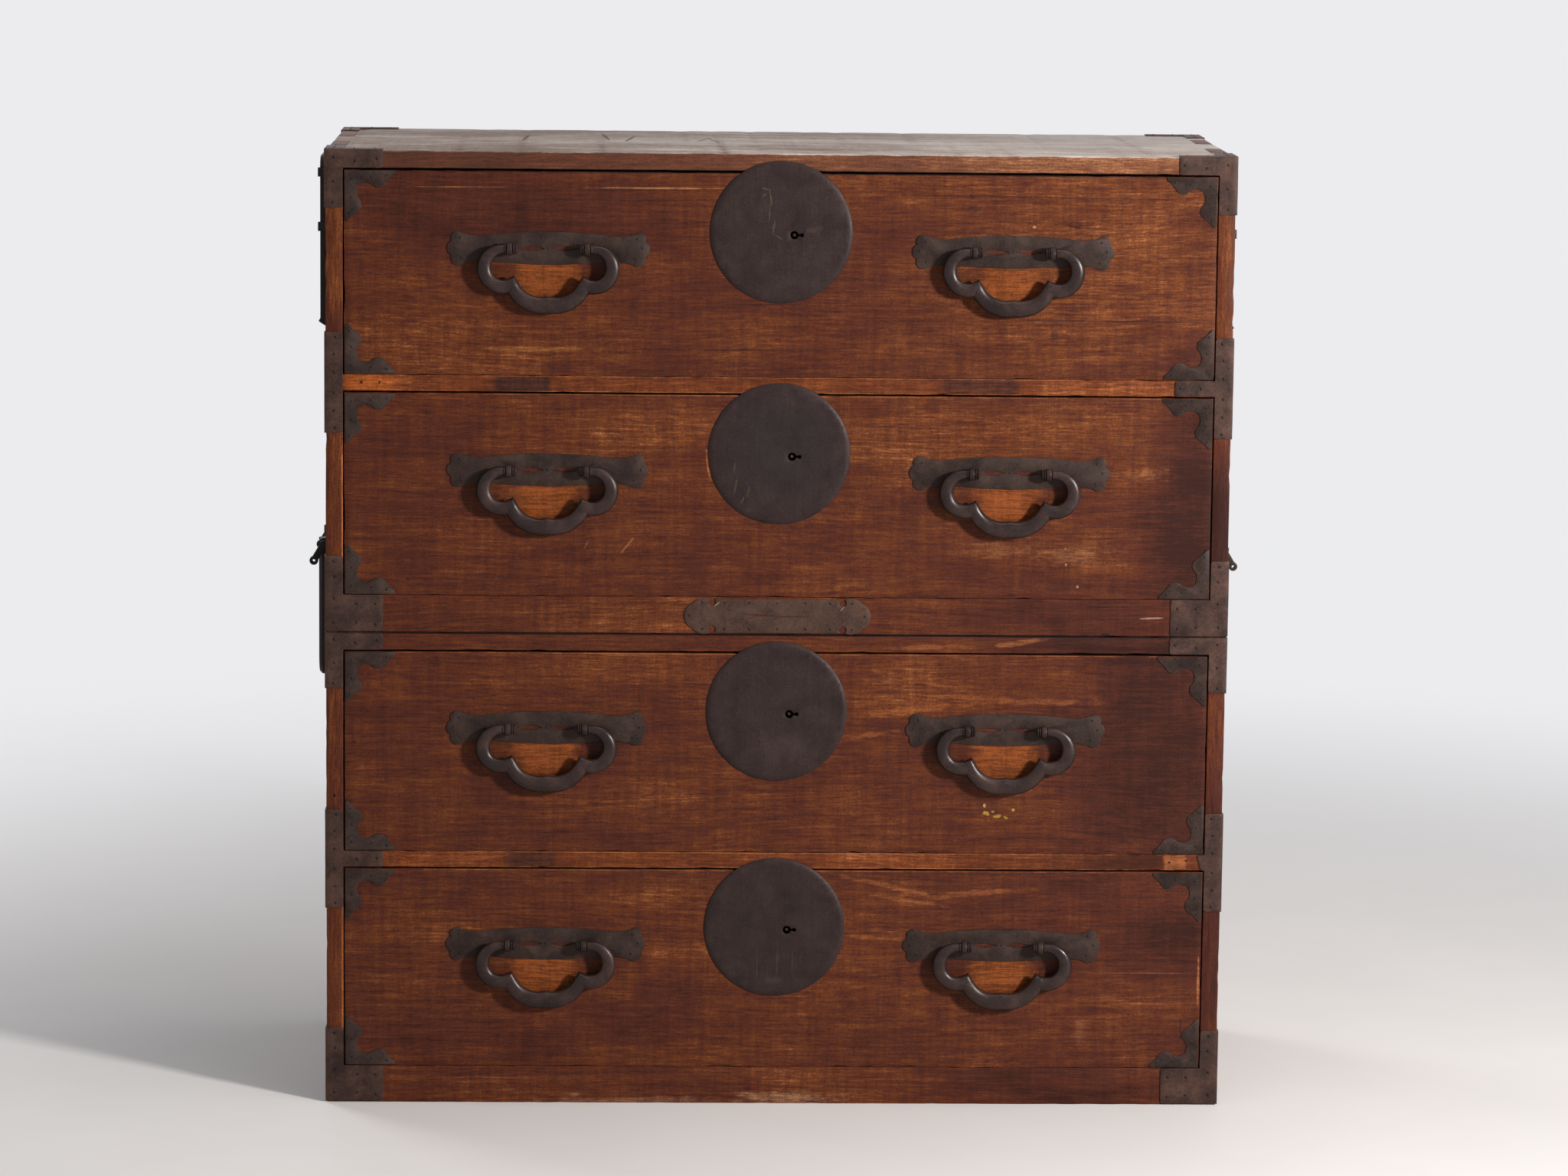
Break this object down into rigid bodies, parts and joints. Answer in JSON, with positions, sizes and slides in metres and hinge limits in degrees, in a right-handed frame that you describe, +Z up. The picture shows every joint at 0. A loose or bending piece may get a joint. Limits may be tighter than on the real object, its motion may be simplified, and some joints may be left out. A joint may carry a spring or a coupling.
{
  "type": "clothing chest",
  "caption": "Stacking wooden clothing chest of wide drawers, with round iron lock plates, lobed bail handles, iron corner straps and side fittings for carrying.",
  "frame": {"origin": "centre of the chest's bounding box, on the floor under it", "axes": "+Z up, -Y out of the drawer fronts, +X to the right of someone facing the drawers"},
  "size_m": [1.1124, 0.4523, 1.129],
  "materials": {
    "case_wood": "worn reddish-brown lacquer",
    "rail_wood": "worn lacquer, orange wood showing",
    "drawer_wood": "worn reddish-brown lacquer, level grain",
    "inner_wood": "bare softwood, aged",
    "strap_iron": "dull dark sheet iron",
    "lock_iron": "dull dark sheet iron, faint scratches",
    "forged_iron": "forged iron, worn smooth"
  },
  "bodies": {
    "lower_case": {"lower_sides": "case_wood", "lower_top": "case_wood", "lower_bottom": "inner_wood", "lower_base_rail": "rail_wood", "lower_rail": "rail_wood", "lower_shelf": "inner_wood", "lower_back": "inner_wood", "lower_irons": "strap_iron"},
    "upper_case": {"upper_sides": "case_wood", "upper_top": "case_wood", "upper_bottom": "inner_wood", "upper_base_rail": "rail_wood", "upper_rail": "rail_wood", "upper_shelf": "inner_wood", "upper_back": "inner_wood", "upper_irons": "strap_iron", "name_plate": "strap_iron", "pole_loop_bands": "forged_iron", "side_bail_pins": "forged_iron"},
    "drawer_1": {"drawer_1_front": "drawer_wood", "drawer_1_box": "inner_wood", "drawer_1_corner_plates": "strap_iron", "drawer_1_lock_plate": "lock_iron", "drawer_1_lock_case": "forged_iron", "drawer_1_handle_plates": "strap_iron"},
    "bolt_1": {"drawer_1_lock_bolt": "forged_iron"},
    "bail_1_left": {"drawer_1_handle_left": "forged_iron"},
    "bail_1_right": {"drawer_1_handle_right": "forged_iron"},
    "drawer_2": {"drawer_2_front": "drawer_wood", "drawer_2_box": "inner_wood", "drawer_2_corner_plates": "strap_iron", "drawer_2_lock_plate": "lock_iron", "drawer_2_lock_case": "forged_iron", "drawer_2_handle_plates": "strap_iron"},
    "bolt_2": {"drawer_2_lock_bolt": "forged_iron"},
    "bail_2_left": {"drawer_2_handle_left": "forged_iron"},
    "bail_2_right": {"drawer_2_handle_right": "forged_iron"},
    "drawer_3": {"drawer_3_front": "drawer_wood", "drawer_3_box": "inner_wood", "drawer_3_corner_plates": "strap_iron", "drawer_3_lock_plate": "lock_iron", "drawer_3_lock_case": "forged_iron", "drawer_3_handle_plates": "strap_iron"},
    "bolt_3": {"drawer_3_lock_bolt": "forged_iron"},
    "bail_3_left": {"drawer_3_handle_left": "forged_iron"},
    "bail_3_right": {"drawer_3_handle_right": "forged_iron"},
    "drawer_4": {"drawer_4_front": "drawer_wood", "drawer_4_box": "inner_wood", "drawer_4_corner_plates": "strap_iron", "drawer_4_lock_plate": "lock_iron", "drawer_4_lock_case": "forged_iron", "drawer_4_handle_plates": "strap_iron"},
    "bolt_4": {"drawer_4_lock_bolt": "forged_iron"},
    "bail_4_left": {"drawer_4_handle_left": "forged_iron"},
    "bail_4_right": {"drawer_4_handle_right": "forged_iron"},
    "pole_loop_left": {"pole_loop_left": "forged_iron"},
    "side_bail_left": {"side_bail_left": "forged_iron"},
    "pole_loop_right": {"pole_loop_right": "forged_iron"},
    "side_bail_right": {"side_bail_right": "forged_iron"}
  },
  "joints": [
    {"name": "upper_lift", "type": "slide", "parent": "lower_case", "child": "upper_case", "axis": [0, 0, 1], "range_m": [0, 0.25]},
    {"name": "drawer_1_slide", "type": "slide", "parent": "upper_case", "child": "drawer_1", "axis": [0, -1, 0], "range_m": [0, 0.33]},
    {"name": "bolt_1_throw", "type": "slide", "parent": "drawer_1", "child": "bolt_1", "axis": [0, 0, 1], "range_m": [0, 0.012]},
    {"name": "bail_1_left_swing", "type": "hinge", "parent": "drawer_1", "child": "bail_1_left", "pos_m": [-0.27, -0.21865, 1.0155], "axis": [-1, 0, 0], "range_deg": [0, 160]},
    {"name": "bail_1_right_swing", "type": "hinge", "parent": "drawer_1", "child": "bail_1_right", "pos_m": [0.27, -0.21865, 1.0155], "axis": [-1, 0, 0], "range_deg": [0, 160]},
    {"name": "drawer_2_slide", "type": "slide", "parent": "upper_case", "child": "drawer_2", "axis": [0, -1, 0], "range_m": [0, 0.33]},
    {"name": "bolt_2_throw", "type": "slide", "parent": "drawer_2", "child": "bolt_2", "axis": [0, 0, 1], "range_m": [0, 0.012]},
    {"name": "bail_2_left_swing", "type": "hinge", "parent": "drawer_2", "child": "bail_2_left", "pos_m": [-0.27, -0.21865, 0.75662], "axis": [-1, 0, 0], "range_deg": [0, 160]},
    {"name": "bail_2_right_swing", "type": "hinge", "parent": "drawer_2", "child": "bail_2_right", "pos_m": [0.27, -0.21865, 0.75662], "axis": [-1, 0, 0], "range_deg": [0, 160]},
    {"name": "drawer_3_slide", "type": "slide", "parent": "lower_case", "child": "drawer_3", "axis": [0, -1, 0], "range_m": [0, 0.33]},
    {"name": "bolt_3_throw", "type": "slide", "parent": "drawer_3", "child": "bolt_3", "axis": [0, 0, 1], "range_m": [0, 0.012]},
    {"name": "bail_3_left_swing", "type": "hinge", "parent": "drawer_3", "child": "bail_3_left", "pos_m": [-0.27, -0.21865, 0.45175], "axis": [-1, 0, 0], "range_deg": [0, 160]},
    {"name": "bail_3_right_swing", "type": "hinge", "parent": "drawer_3", "child": "bail_3_right", "pos_m": [0.27, -0.21865, 0.45175], "axis": [-1, 0, 0], "range_deg": [0, 160]},
    {"name": "drawer_4_slide", "type": "slide", "parent": "lower_case", "child": "drawer_4", "axis": [0, -1, 0], "range_m": [0, 0.33]},
    {"name": "bolt_4_throw", "type": "slide", "parent": "drawer_4", "child": "bolt_4", "axis": [0, 0, 1], "range_m": [0, 0.012]},
    {"name": "bail_4_left_swing", "type": "hinge", "parent": "drawer_4", "child": "bail_4_left", "pos_m": [-0.27, -0.21865, 0.19287], "axis": [-1, 0, 0], "range_deg": [0, 160]},
    {"name": "bail_4_right_swing", "type": "hinge", "parent": "drawer_4", "child": "bail_4_right", "pos_m": [0.27, -0.21865, 0.19287], "axis": [-1, 0, 0], "range_deg": [0, 160]},
    {"name": "pole_loop_left_slide", "type": "slide", "parent": "upper_case", "child": "pole_loop_left", "axis": [0, 0, 1], "range_m": [0, 0.102]},
    {"name": "side_bail_left_swing", "type": "hinge", "parent": "upper_case", "child": "side_bail_left", "pos_m": [-0.5395, 0.00965, 0.64775], "axis": [0, 1, 0], "range_deg": [0, 150]},
    {"name": "pole_loop_right_slide", "type": "slide", "parent": "upper_case", "child": "pole_loop_right", "axis": [0, 0, 1], "range_m": [0, 0.102]},
    {"name": "side_bail_right_swing", "type": "hinge", "parent": "upper_case", "child": "side_bail_right", "pos_m": [0.5395, 0.00965, 0.64775], "axis": [0, -1, 0], "range_deg": [0, 150]}
  ]
}
